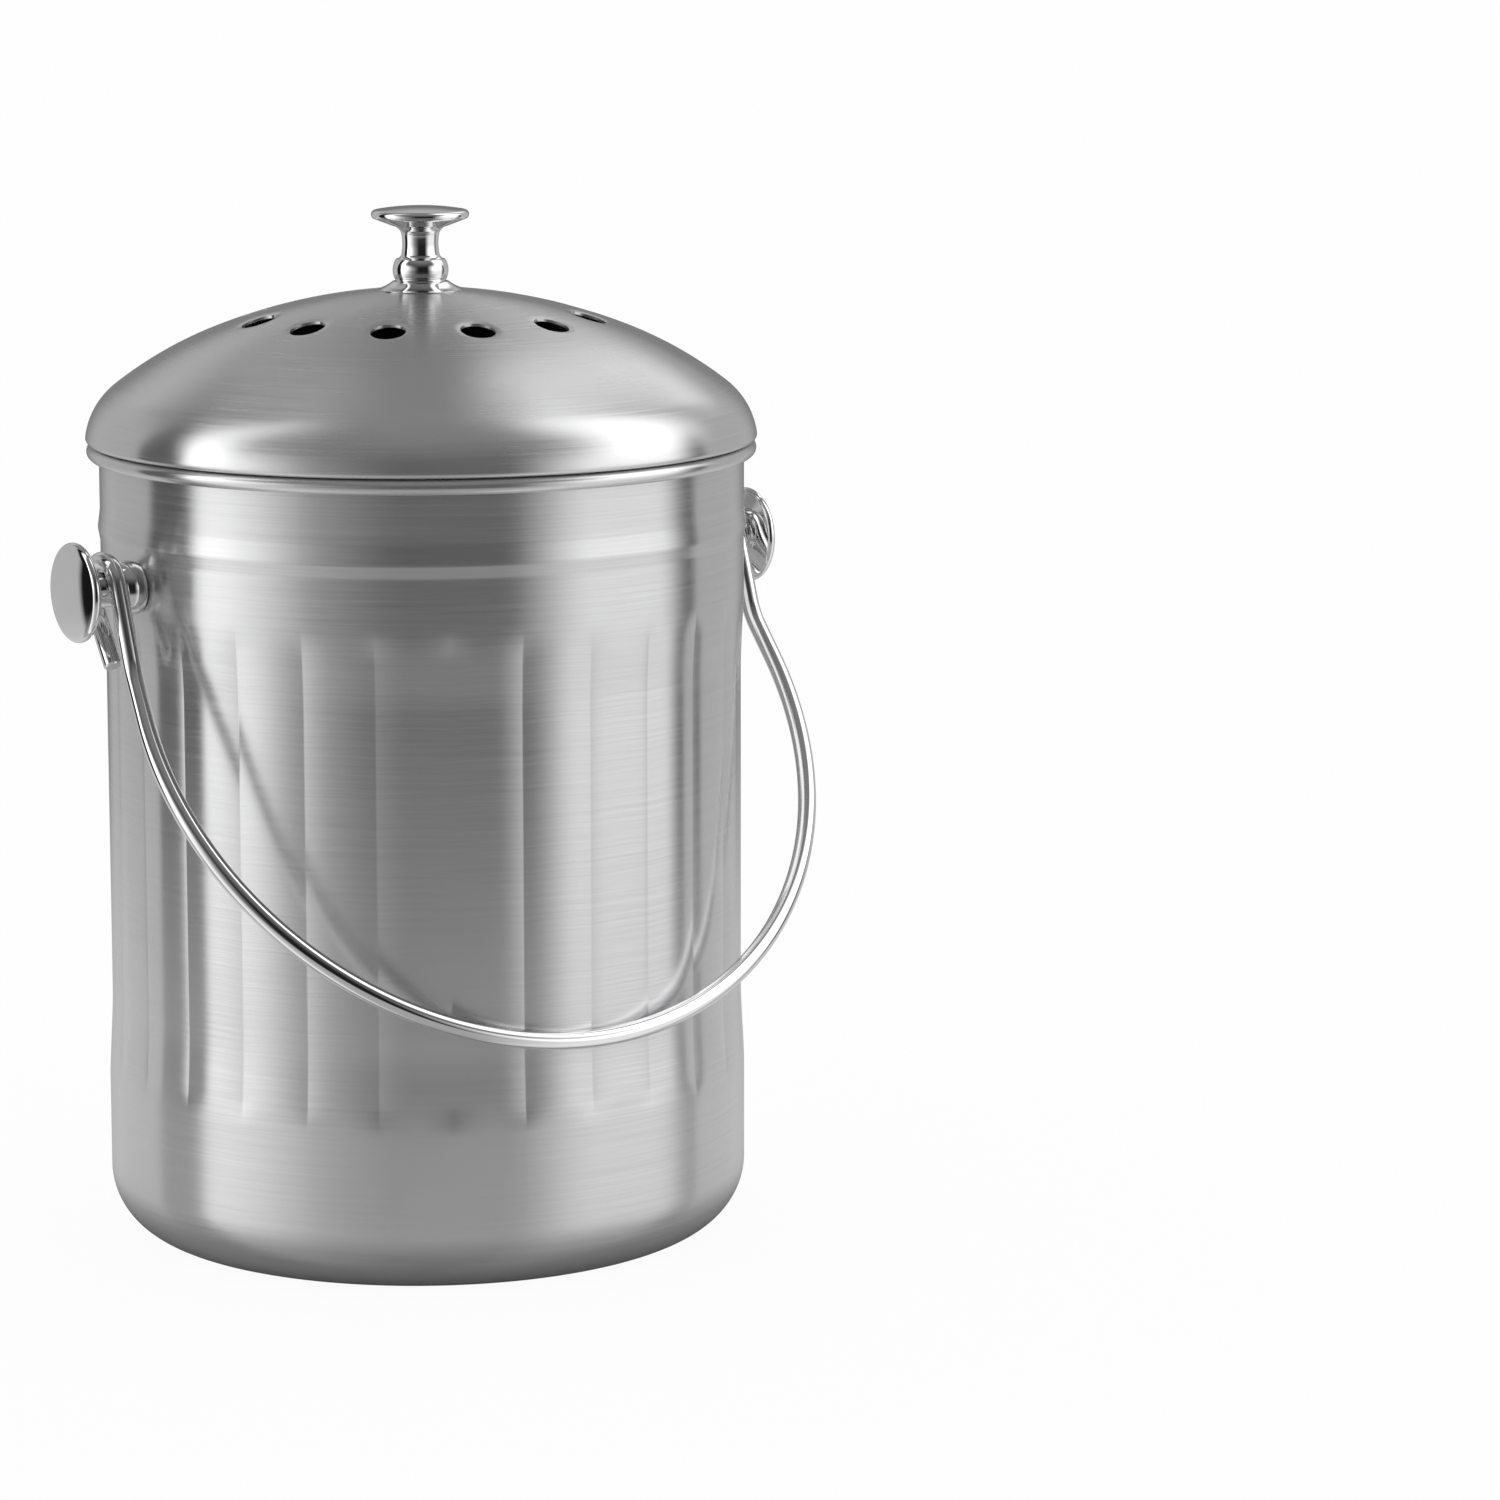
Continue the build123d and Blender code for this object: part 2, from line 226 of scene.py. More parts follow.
def relief(tree: bpy.types.NodeTree, height: Signal, depth: float) -> Signal:
    """A normal for small relief.

    Args:
        tree: The tree that gets the node.
        height: The relief's height from 0 to 1.
        depth: What a height of 1 stands for, in metres.

    Returns:
        The bent normal.
    """
    inputs = {"Strength": 1.0, "Distance": depth, "Height": height}
    return node(tree, "ShaderNodeBump", {}, inputs, "Normal")


def principled(name: str) -> tuple[bpy.types.Material, bpy.types.NodeTree, bpy.types.Node]:
    """A new material that is to be worked on.

    Args:
        name: The material's name.

    Returns:
        The material, its tree and its Principled shader.
    """
    made = bpy.data.materials.new(name)
    made.use_nodes = True
    return made, made.node_tree, made.node_tree.nodes["Principled BSDF"]


def tint(tree: bpy.types.NodeTree, factor: Signal, dark: Sequence[float], light: Sequence[float]) -> Signal:
    """A colour between two.

    Args:
        tree: The tree that gets the node.
        factor: 0 gives the dark colour and 1 the light one.
        dark: Linear RGB.
        light: Linear RGB.

    Returns:
        The mixed colour.
    """
    settings = {"data_type": "RGBA", "clamp_factor": True}
    return node(tree, "ShaderNodeMix", settings, {0: factor, 6: (*dark, 1.0), 7: (*light, 1.0)}, 2)


def noise(tree: bpy.types.NodeTree, place: Signal, scale: float, detail: float = 2.0) -> Signal:
    """Noise from 0 to 1.

    Args:
        tree: The tree that gets the node.
        place: The coordinates that it is read at.
        scale: Features per unit of the coordinates.
        detail: Octaves.

    Returns:
        The noise value.
    """
    return node(tree, "ShaderNodeTexNoise", {}, {"Vector": place, "Scale": scale, "Detail": detail}, "Fac")


def mixed(tree: bpy.types.NodeTree, share: Signal, first: Signal, second: Signal) -> Signal:
    """One shader at a share of 0 and the other at a share of 1."""
    return node(tree, "ShaderNodeMixShader", {}, {0: share, 1: first, 2: second})


def rays(tree: bpy.types.NodeTree) -> tuple[Signal, Signal]:
    """Whether the camera looks straight on, and whether something shiny reflects."""
    camera_ray = node(tree, "ShaderNodeLightPath", {}, {}, "Is Camera Ray")
    return camera_ray, camera_ray.beside("Is Glossy Ray")


class Spin(Enum):
    """The axis that a piece was spun or turned about."""

    UPRIGHT = "z"
    SIDEWAYS = "x"


def turned_place(tree: bpy.types.NodeTree, spin: Spin, along: float, across: float) -> Signal:
    """Coordinates that run slowly round the axis and fast from ring to ring.

    Args:
        tree: The tree that gets the nodes.
        spin: The axis of the rings.
        along: Scale round the ring.
        across: Scale from one ring to the next, per metre.

    Returns:
        A vector signal.
    """
    x, y, z = split(tree, own_place(tree))
    if spin is Spin.SIDEWAYS:
        x, z = z - PIVOT_Z * MM, x
    radius = ((x * x + y * y) ** 0.5).at_least(0.1 * MM)
    inputs = {0: x / radius * along, 1: y / radius * along, 2: (z - radius) * across}
    return node(tree, "ShaderNodeCombineXYZ", {}, inputs)


# ------------------------------------------------------------------ finishes
@dataclass(frozen=True)
class Steel:
    """Bare stainless steel.

    Attributes:
        name: The material's name.
        colour: Linear RGB of the clean metal.
        roughness: Mean roughness.
        spread: How far the roughness wanders either way.
        grain: Depth of the brushing lines in metres.
        stretch: Anisotropy, 0 to 1.
        metal: Share of mirror-like metal. The rest is the wide scatter of the scratches.
        spin: The axis of the brushing.
        smudge: How much faint handling marks change the roughness.
        contrast: How much the brushing lines change the colour either way.
        fine: Scales of the fine lines, round the ring and across it.
        broad: Scales of the broad lines.
        fine_share: Share of the fine lines in the brushing.
        shade_gain: How strongly the lines pull the colour from its middle.
        mark_scale: Handling marks per metre.
        mark_span: Noise at which a mark starts and is full.
        mark_dim: How much a mark darkens the metal.
        lie: Turn of the stretched highlights, as a share of a whole turn.
    """

    name: str
    colour: tuple[float, float, float] = (0.62, 0.62, 0.625)
    roughness: float = 0.2
    spread: float = 0.055
    grain: float = 2.2e-6
    stretch: float = 0.86
    metal: float = 0.82
    spin: Spin = Spin.UPRIGHT
    smudge: float = 0.03
    contrast: float = 0.08
    fine: Point = (2.2, 2600.0)
    broad: Point = (1.1, 900.0)
    fine_share: float = 0.6
    shade_gain: float = 1.6
    mark_scale: float = 26.0
    mark_span: Point = (0.42, 0.68)
    mark_dim: float = 0.12
    lie: float = 0.25

    def material(self) -> bpy.types.Material:
        """Makes the material.

        Returns:
            The material.
        """
        made, tree, shader = principled(self.name)
        fine, broad = (
            noise(tree, turned_place(tree, self.spin, *scales), 1.0, 3.0) for scales in (self.fine, self.broad)
        )
        marks = noise(tree, own_place(tree), self.mark_scale, 4.0).ramp(*self.mark_span)
        lines = fine * self.fine_share + broad * (1.0 - self.fine_share)
        swing = lines - 0.5
        rough = self.roughness + swing * (self.spread / NOISE_SWING) + marks * self.smudge
        shade = (swing * self.shade_gain + 0.5 - marks * self.mark_dim).held()
        dark = tuple(c * (1.0 - self.contrast) for c in self.colour)
        light = tuple(min(1.0, c * (1.0 + self.contrast)) for c in self.colour)
        tint(tree, shade, dark, light).into(shader, "Base Color")
        rough.held().into(shader, "Roughness")
        relief(tree, lines, self.grain).into(shader, "Normal")
        plain = {"Metallic": self.metal, "Anisotropic": self.stretch, "Anisotropic Rotation": self.lie}
        for socket, value in plain.items():
            shader.inputs[socket].default_value = value
        return made


@dataclass(frozen=True)
class Foam:
    """Open-celled carbon foam, near black with small glints.

    Attributes:
        name: The material's name.
        pore: Size of a cell in metres.
        dark: Linear RGB of the cells' depths, a painted shade in the pores.
        light: Linear RGB of their walls, painted lighter where the relief stands high.
        shade_mix: Shares of cells, flecks and clouds in the shade, and what is taken off.
        height_mix: Shares of cells and flecks in the relief.
        cloud_scale: Wide, faint clouds per metre.
        roughness: Roughness away from the glints.
        glint: How much a glint takes off the roughness.
        glint_span: Fleck noise at which a glint starts and is full.
    """

    name: str
    pore: float = 0.0011
    dark: tuple[float, float, float] = (0.0035, 0.0035, 0.004)
    light: tuple[float, float, float] = (0.024, 0.024, 0.027)
    shade_mix: tuple[float, float, float, float] = (0.9, 0.5, 0.2, 0.35)
    height_mix: Point = (0.7, 0.5)
    cloud_scale: float = 45.0
    roughness: float = 0.95
    glint: float = 0.35
    glint_span: Point = (0.55, 0.75)

    def material(self) -> bpy.types.Material:
        """Makes the material.

        Returns:
            The material.
        """
        made, tree, shader = principled(self.name)
        coords = own_place(tree)
        cells = node(tree, "ShaderNodeTexVoronoi", {"feature": "F1"}, {"Vector": coords, "Scale": 1.0 / self.pore})
        fleck = noise(tree, coords, 1.4 / self.pore, 3.0)
        cloud = noise(tree, coords, self.cloud_scale)
        cell_part, fleck_part, cloud_part, less = self.shade_mix
        # Cells and flecks paint the pad darker where its relief is low and lighter where it is high, as painted
        # shade in the pores; the clouds are random tone.
        shade = (cells * cell_part + fleck * fleck_part - less + cloud * cloud_part).held()
        tint(tree, shade, self.dark, self.light).into(shader, "Base Color")
        (self.roughness - fleck.ramp(*self.glint_span) * self.glint).into(shader, "Roughness")
        cell_part, fleck_part = self.height_mix
        relief(tree, cells * cell_part + fleck * fleck_part, self.pore * 0.5).into(shader, "Normal")
        return made


# ------------------------------------------------------------------ mesh making
def arc(centre: Point, radius: float, start: float, end: float, steps: int = 16) -> list[Point]:
    """Points on an arc.

    Args:
        centre: Its middle.
        radius: Its radius.
        start: First angle in degrees.
        end: Last angle in degrees.
        steps: Pieces that it is cut into.

    Returns:
        The points, both ends included.
    """
    angles = [math.radians(start + (end - start) * i / steps) for i in range(steps + 1)]
    return [(centre[0] + radius * math.cos(a), centre[1] + radius * math.sin(a)) for a in angles]


def through(a: Point, b: Point, c: Point, steps: int = 10) -> list[Point]:
    """Points on the arc through three points.

    Args:
        a: First point.
        b: A point between.
        c: Last point.
        steps: Pieces that it is cut into.

    Returns:
        The points, both ends included.
    """
    d = 2 * (a[0] * (b[1] - c[1]) + b[0] * (c[1] - a[1]) + c[0] * (a[1] - b[1]))
    sa, sb, sc = (p[0] ** 2 + p[1] ** 2 for p in (a, b, c))
    x = (sa * (b[1] - c[1]) + sb * (c[1] - a[1]) + sc * (a[1] - b[1])) / d
    y = (sa * (c[0] - b[0]) + sb * (a[0] - c[0]) + sc * (b[0] - a[0])) / d
    radius = math.hypot(a[0] - x, a[1] - y)
    first, middle, last = (math.degrees(math.atan2(p[1] - y, p[0] - x)) for p in (a, b, c))
    middle = first + (middle - first + 180) % 360 - 180
    last = middle + (last - middle + 180) % 360 - 180
    return arc((x, y), radius, first, last, steps)


def rise(start: Point, end: Point, steps: int) -> list[Point]:
    """Points on a straight line.

    Args:
        start: First point.
        end: Last point.
        steps: Pieces that it is cut into.

    Returns:
        The points, both ends included.
    """
    return [
        (start[0] + (end[0] - start[0]) * i / steps, start[1] + (end[1] - start[1]) * i / steps)
        for i in range(steps + 1)
    ]


def eased(share: float) -> float:
    """A share held between 0 and 1, with a soft start and end."""
    held = max(0.0, min(1.0, share))
    return held * held * (3 - 2 * held)


def joined(*runs: Sequence[Point]) -> list[Point]:
    """Puts runs of an outline end to end.

    Args:
        runs: The runs in order.

    Returns:
        Their points, without doubled ones.
    """
    out: list[Point] = []
    for run in runs:
        for p in run:
            if not out or math.dist(p, out[-1]) > SAME_PLACE:
                out.append(p)
    return out


def smoothed(mesh: bpy.types.Mesh) -> None:
    """Gives a mesh smooth faces with sharp edges between them."""
    mesh.shade_smooth()
    mesh.set_sharp_from_angle(angle=SHARP_TURN)


def linked(name: str, data: bpy.types.ID) -> bpy.types.Object:
    """Puts a mesh or a camera in the scene.

    Args:
        name: The object's name.
        data: The mesh or camera.

    Returns:
        The new object.
    """
    made = bpy.data.objects.new(name, data)
    bpy.context.scene.collection.objects.link(made)
    return made


def finish_mesh(name: str, points: Sequence[Vector], faces: Sequence[tuple[int, ...]]) -> bpy.types.Object:
    """Makes a smooth piece whose faces all look outwards.

    Args:
        name: The piece's name.
        points: Its corners in metres.
        faces: Its faces, as numbers of corners.

    Returns:
        The new object.
    """
    mesh = bpy.data.meshes.new(name)
    mesh.from_pydata(points, [], faces)
    work = bmesh.new()
    work.from_mesh(mesh)
    bmesh.ops.recalc_face_normals(work, faces=work.faces)
    work.to_mesh(mesh)
    work.free()
    smoothed(mesh)
    return linked(name, mesh)


def spun(
    name: str,
    outline: Sequence[Point],
    segments: int,
    place: Matrix = Matrix.Identity(4),
    shape: Callable[[float, float, float], float] = lambda r, z, a: r,
    steps: Sequence[float] = (),
) -> bpy.types.Object:
    """Spins an outline round Z.

    Args:
        name: The piece's name.
        outline: Radius and height in millimetres. It closes on itself, or starts and ends on the axis.
        segments: Times round the axis that the steps repeat.
        place: Where the piece goes, in metres.
        shape: Gives the radius at a height and an angle, for walls that aren't round.
        steps: Shares of one repeat at which there are steps, where one at its start isn't enough.

    Returns:
        The new object.
    """
    on_axis = outline[0][0] < ON_AXIS
    angles = [2 * math.pi * (i + share) / segments for i in range(segments) for share in steps or (0.0,)]
    segments = len(angles)
    points: list[Vector] = []
    rings: list[list[int]] = []
    for r, z in outline:
        if r < ON_AXIS:
            points.append(place @ Vector((0.0, 0.0, z * MM)))
            rings.append([len(points) - 1] * segments)
            continue
        first = len(points)
        for a in angles:
            bent = shape(r, z, a)
            points.append(place @ Vector((bent * math.cos(a) * MM, bent * math.sin(a) * MM, z * MM)))
        rings.append(list(range(first, first + segments)))
    pairs = list(zip(rings, rings[1:]))
    if not on_axis:
        pairs.append((rings[-1], rings[0]))
    faces: list[tuple[int, ...]] = []
    for low, high in pairs:
        for i in range(segments):
            j = (i + 1) % segments
            corners = (low[i], low[j], high[j], high[i])
            face = tuple(dict.fromkeys(corners))
            if len(face) > 2:
                faces.append(face)
    return finish_mesh(name, points, faces)


def drilled(
    piece: bpy.types.Object, places: Sequence[Matrix], radius: float, depth: float, sides: int = 48
) -> None:
    """Cuts round holes through a piece.

    Args:
        piece: The piece.
        places: Middle and direction (Z) of each hole, in metres.
        radius: Radius of the holes in millimetres.
        depth: Length of the cutters in millimetres.
        sides: Sides of each hole.
    """
    work = bmesh.new()
    sizes = {"radius1": radius * MM, "radius2": radius * MM, "depth": depth * MM}
    for place in places:
        bmesh.ops.create_cone(work, cap_ends=True, segments=sides, matrix=place, **sizes)
    mesh = bpy.data.meshes.new("cutter")
    work.to_mesh(mesh)
    work.free()
    cutter = linked("cutter", mesh)
    cut = piece.modifiers.new("holes", "BOOLEAN")
    cut.operation = "DIFFERENCE"
    cut.solver = "EXACT"
    cut.object = cutter
    bpy.context.view_layer.update()
    solid = bpy.data.meshes.new_from_object(piece.evaluated_get(bpy.context.evaluated_depsgraph_get()))
    piece.modifiers.clear()
    bpy.data.objects.remove(cutter)
    piece.data = solid
    smoothed(solid)


def tube(
    name: str, path: Sequence[Vector], radius: float, sides: int = 28, softness: float = 0.16
) -> bpy.types.Object:
    """A round wire along a path, with softly cut ends.

    Args:
        name: The piece's name.
        path: Middle line in metres.
        radius: Radius in metres.
        sides: Sides of the section.
        softness: How far each end's edge is cut back, as a share of the radius.

    Returns:
        The new object.
    """
    steps = [(b - a).normalized() for a, b in zip(path, path[1:])]
    ways = [steps[0], *((a + b).normalized() for a, b in zip(steps, steps[1:])), steps[-1]]
    side = ways[0].orthogonal().normalized()
    soft = radius * softness
    ends = [(path[0], radius - soft), (path[0] + ways[0] * soft, radius)]
    tail = [(path[-1] - ways[-1] * soft, radius), (path[-1], radius - soft)]
    rings = [(p, r, ways[0]) for p, r in ends]
    rings += [(p, radius, w) for p, w in zip(path[1:-1], ways[1:-1])]
    rings += [(p, r, ways[-1]) for p, r in tail]
    points: list[Vector] = []
    last = rings[0][2]
    for centre, r, way in rings:
        side = last.rotation_difference(way) @ side
        side = (side - way * side.dot(way)).normalized()
        other = way.cross(side)
        last = way
        for i in range(sides):
            a = 2 * math.pi * i / sides
            points.append(centre + (side * math.cos(a) + other * math.sin(a)) * r)
    faces: list[tuple[int, ...]] = [tuple(reversed(range(sides)))]
    for k in range(len(rings) - 1):
        for i in range(sides):
            j = (i + 1) % sides
            faces.append((k * sides + i, k * sides + j, (k + 1) * sides + j, (k + 1) * sides + i))
    faces.append(tuple(range((len(rings) - 1) * sides, len(rings) * sides)))
    return finish_mesh(name, points, faces)


def dressed(
    piece: bpy.types.Object, finish: bpy.types.Material, body: str, slot: str, *nodes: str
) -> bpy.types.Object:
    """Gives a new piece its finish and its body, and hides the nodes that it stands for.

    Args:
        piece: The piece.
        finish: Its material.
        body: The body that it rides on.
        slot: The record's material slot. Not used.
        nodes: The CAD nodes that it replaces.

    Returns:
        The piece.
    """
    piece.data.materials.clear()
    piece.data.materials.append(finish)
    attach(piece, body)
    if nodes:
        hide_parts(*nodes)
    LOG.info("%s rides on %s", piece.name, body)
    return piece


# ------------------------------------------------------------------ sub-assemblies
@dataclass
class TurnedKnob:
    """The turned knob, which also serves as a bail stud. Distances run from its seat.

    The cove and the flare are points on the curves at the stem's two ends: how far out from the stem and how far
    up from the end of the bead or of the stem.
    """

    length: float = 20.6
    seat_r: float = 6.9
    bead_r: float = 7.65
    bead_mid: float = 3.0
    bead_end: float = 6.1
    stem_start: float = 7.6
    stem_r: float = 5.0
    stem_end: float = 13.0
    neck_end: float = 15.2
    neck_r: float = 7.6
    head_r: float = 13.45
    head_under: float = 17.1
    head_edge: float = 18.4
    head_top: float = 19.5
    edge_round: float = 0.9
    seat_edge: float = 0.3
    bead_in: float = 0.2
    stem_swell: float = 0.2
    waist_in: float = 0.05
    cove: Point = (0.65, 0.5)
    flare: Point = (0.9, 1.3)
    sides: int = 96

    def outline(self) -> list[Point]:
        """Draws the half section from the seat's middle to the crown's middle.

        Returns:
            The points, as radius and height.
        """
        lip = self.head_r - self.edge_round
        crown_h = self.length - self.head_top
        crown_r = (lip**2 + crown_h**2) / (2 * crown_h)
        crown_turn = math.degrees(math.asin(lip / crown_r))
        seat = (self.seat_r, self.seat_edge)
        bead = (self.seat_r - self.bead_in, self.bead_end)
        cove = (self.stem_r + self.cove[0], self.bead_end + self.cove[1])
        stem_low = (self.stem_r + self.stem_swell, self.stem_start)
        waist = (self.stem_r - self.waist_in, (self.stem_start + self.stem_end) / 2)
        stem_high = (self.stem_r + self.stem_swell, self.stem_end)
        flare = (self.stem_r + self.flare[0], self.stem_end + self.flare[1])
        neck = (self.neck_r, self.neck_end)
        return joined(
            [(0.0, 0.0), (self.seat_r - self.seat_edge, 0.0), seat],
            through(seat, (self.bead_r, self.bead_mid), bead, 18),
            through(bead, cove, stem_low, 8),
            through(stem_low, waist, stem_high, 10),
            through(stem_high, flare, neck, 10),
            rise(neck, (lip, self.head_under), 8),
            through((lip, self.head_under), (self.head_r, self.head_edge), (lip, self.head_top), 14),
            arc((0.0, self.length - crown_r), crown_r, 90 - crown_turn, 90, 12),
        )

    def made(self, name: str, place: Matrix) -> bpy.types.Object:
        """Spins the knob at a place."""
        return spun(name, self.outline(), self.sides, place)


@dataclass
class Bucket:
    """The drawn bucket with rolled rim, raised line and pressed flutes.

    The raised line's points tell which of its three heights each is measured from, how far above it the point
    lies and how far it stands out. The panel steps are shares of one panel, close together at its creases.
    """

    sheet: float = 0.7
    band_r: float = 88.7
    corner_r: float = 19.0
    foot_w: float = 7.0
    base_lift: float = 1.5
    base_slope: float = 3.0
    foot_edge: Point = (0.4, 0.1)
    curl_r: float = 2.05
    curl_turn: float = 300.0
    flutes: int = 28
    flute_z: Point = (44.5, 181.5)
    fade: float = 9.0
    recess_h: float = 24.0
    flute_depth: float = 0.9
    panel_r: float = 49.0
    line_z: tuple[float, float, float] = (194.9, 198.4, 203.5)
    line_start: tuple[tuple[int, float, float], ...] = ((0, -1.0, 0.0), (0, -0.3, 0.0), (0, 0.2, 0.03))
    line_crest: tuple[tuple[int, float, float], ...] = ((1, -0.5, 0.55), (1, 0.0, 0.59), (1, 0.6, 0.55))
    line_end: tuple[tuple[int, float, float], ...] = ((2, -0.3, 0.03), (2, 0.3, 0.0), (2, 2.0, 0.0))
    panel_start: tuple[float, ...] = (0.0, 0.012, 0.05, 0.12, 0.21, 0.31, 0.41)
    panel_end: tuple[float, ...] = (0.5, 0.59, 0.69, 0.79, 0.88, 0.95, 0.988)
    stud: TurnedKnob = field(default_factory=TurnedKnob)

    def flute(self, r: float, z: float, angle: float) -> float:
        """Radius of the wall at a height and an angle.

        Args:
            r: Radius of the plain wall there.
            z: Height.
            angle: Angle round the axis.

        Returns:
            The pressed radius.
        """
        low, high = self.flute_z
        if not low < z < high or r < self.band_r - self.sheet - ON_AXIS:
            return r
        inside = min(z - low, high - z)
        crease, recess = (eased(inside / span) for span in (self.fade, self.recess_h))
        half = math.pi / self.flutes
        off = angle % (2 * half) - half
        crest = self.band_r - self.flute_depth
        middle = crest - self.panel_r
        pressed = middle * math.cos(off) + math.sqrt(self.panel_r**2 - (middle * math.sin(off)) ** 2)
        return r - recess * self.flute_depth - crease * (crest - pressed)

    def wall(self, inset: float) -> list[Point]:
        """Draws the wall's line from the foot's outer edge up to the rim's curl.

        Args:
            inset: 0 for the outside, or the sheet for the inside.

        Returns:
            The points, as radius and height.
        """
        r = self.band_r - inset
        low, high = self.flute_z
        line = self.line_start + self.line_crest + self.line_end
        return joined(
            arc((self.band_r - self.corner_r, self.corner_r), self.corner_r - inset, -90, 0, 22),
            rise((r, self.corner_r), (r, low), 6),
            rise((r, low), (r, low + self.recess_h), 21),
            rise((r, low + self.recess_h), (r, high - self.recess_h), 8),
            rise((r, high - self.recess_h), (r, high), 21),
            [(r, high + 2.0)],
            [(r + out, self.line_z[i] + up) for i, up, out in line],
        )

    def outline(self, mouth_z: float) -> list[Point]:
        """Draws the whole half section: outside up, round the curl, and back down inside.

        Args:
            mouth_z: Height of the rim's top.

        Returns:
            The points, as radius and height.
        """
        middle_r = self.curl_r - self.sheet / 2
        curl = (self.band_r - self.sheet / 2 + middle_r, mouth_z - self.curl_r)
        end = 180 - self.curl_turn
        foot_in = self.band_r - self.corner_r - self.foot_w
        lift_r = foot_in - self.base_slope
        edge = (foot_in - self.foot_edge[0], self.foot_edge[1])
        under = [(0.0, self.base_lift), (lift_r, self.base_lift), edge, (foot_in, 0.0)]
        over = [(foot_in, self.sheet), (lift_r, self.base_lift + self.sheet), (0.0, self.base_lift + self.sheet)]
        return joined(
            under,
            self.wall(0.0),
            [(self.band_r, curl[1])],
            arc(curl, self.curl_r - self.sheet, 180, end, 26),
            arc(curl, self.curl_r, end, 180, 34),
            self.wall(self.sheet)[::-1],
            over,
        )

    def build(self, brushed: bpy.types.Material, turned: bpy.types.Material) -> None:
        """Makes the shell and both studs.

        Args:
            brushed: Finish of the shell.
            turned: Finish of the studs.
        """
        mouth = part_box("bucket_shell")[1][2] / MM
        steps = self.panel_start + self.panel_end
        shell = spun("bucket_skin", self.outline(mouth), self.flutes, shape=self.flute, steps=steps)
        dressed(shell, brushed, "bucket", "brushed", "bucket_shell")
        for side, name in ((-1, "left"), (1, "right")):
            low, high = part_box(f"{name}_stud")
            seat = min(abs(low[0]), abs(high[0]))
            place = Matrix.Translation((side * seat, 0.0, (low[2] + high[2]) / 2))
            place = place @ Matrix.Rotation(side * math.pi / 2, 4, "Y")
            stud = self.stud.made(f"{name}_turned_stud", place)
            dressed(stud, turned, "bucket", "polished", f"{name}_stud")


@dataclass
class Bail:
    """The bent wire handle with a closed eye at each end, in millimetres and degrees from the pivot."""

    wire_r: float = 2.5
    bow_r: float = 100.0
    reach: float = 148.5
    leg_lean: float = 5.0
    eye_x: float = 98.4
    eye_r: float = 7.9
    eye_wrap: float = 195.0
    tail: float = 19.0
    bend_r: float = 22.0
    rest_r: float = 90.6
    bow_steps: int = 80
    eye_steps: int = 48
    bend_steps: int = 14
    least_step: float = 0.05

    def bend(self, a: Vector, corner: Vector, b: Vector) -> list[Vector]:
        """Rounds the corner between two straight runs.

        Args:
            a: A point on the first run.
            corner: Where the runs meet.
            b: A point on the second run.

        Returns:
            Points on the bend.
        """
        into = (corner - a).normalized()
        out = (b - corner).normalized()
        half = into.angle(out) / 2
        middle = corner + (out - into).normalized() * (self.bend_r / math.cos(half))
        first = corner - into * (self.bend_r * math.tan(half)) - middle
        last = corner + out * (self.bend_r * math.tan(half)) - middle
        shares = [i / self.bend_steps for i in range(self.bend_steps + 1)]
        return [middle + first.slerp(last, share).normalized() * self.bend_r for share in shares]

    def half(self, side: int) -> list[Vector]:
        """Draws one half of the wire, hanging straight down.

        Args:
            side: -1 for the left half and 1 for the right.

        Returns:
            The middle line from the bottom of the bow to the cut end.
        """
        bow_z = self.bow_r - self.reach
        lean = math.radians(self.leg_lean)
        sweep = math.pi / 2 + lean
        turns = [sweep * i / self.bow_steps for i in range(self.bow_steps + 1)]
        bow = [Vector((side * self.bow_r * math.sin(a), 0.0, bow_z - self.bow_r * math.cos(a))) for a in turns]
        run = (self.bow_r * math.cos(lean) - self.eye_x) / math.sin(lean)
        corner = bow[-1] + Vector((-side * math.sin(lean), 0.0, math.cos(lean))) * run
        start = -math.asin(self.eye_r / -corner.z)
        wrap = math.radians(self.eye_wrap)
        turns = [start + wrap * i / self.eye_steps for i in range(self.eye_steps + 1)]
        eye = [Vector((side * self.eye_x, -self.eye_r * math.cos(a), self.eye_r * math.sin(a))) for a in turns]
        way = Vector((0.0, math.sin(turns[-1]), math.cos(turns[-1])))
        tail = [eye[-1] + way * (self.tail * t) for t in (0.5, 1.0)]
        return bow + self.bend(bow[-1], corner, eye[0]) + eye + tail

    def build(self, polished: bpy.types.Material) -> None:
        """Makes the wire, leaning on the front of the bucket.

        Args:
            polished: Finish of the wire.
        """
        lean = math.asin(self.rest_r / self.reach)
        place = Matrix.Translation((0.0, 0.0, PIVOT_Z * MM)) @ Matrix.Rotation(-lean, 4, "X")
        path = list(reversed(self.half(-1))) + self.half(1)[1:]
        path = [place @ (p * MM) for p in path]
        kept = [path[0]]
        for p in path[1:]:
            if (p - kept[-1]).length > self.least_step * MM:
                kept.append(p)
        wire = tube("bail_wire", kept, self.wire_r * MM)
        dressed(wire, polished, "bail", "polished", "bail_handle")


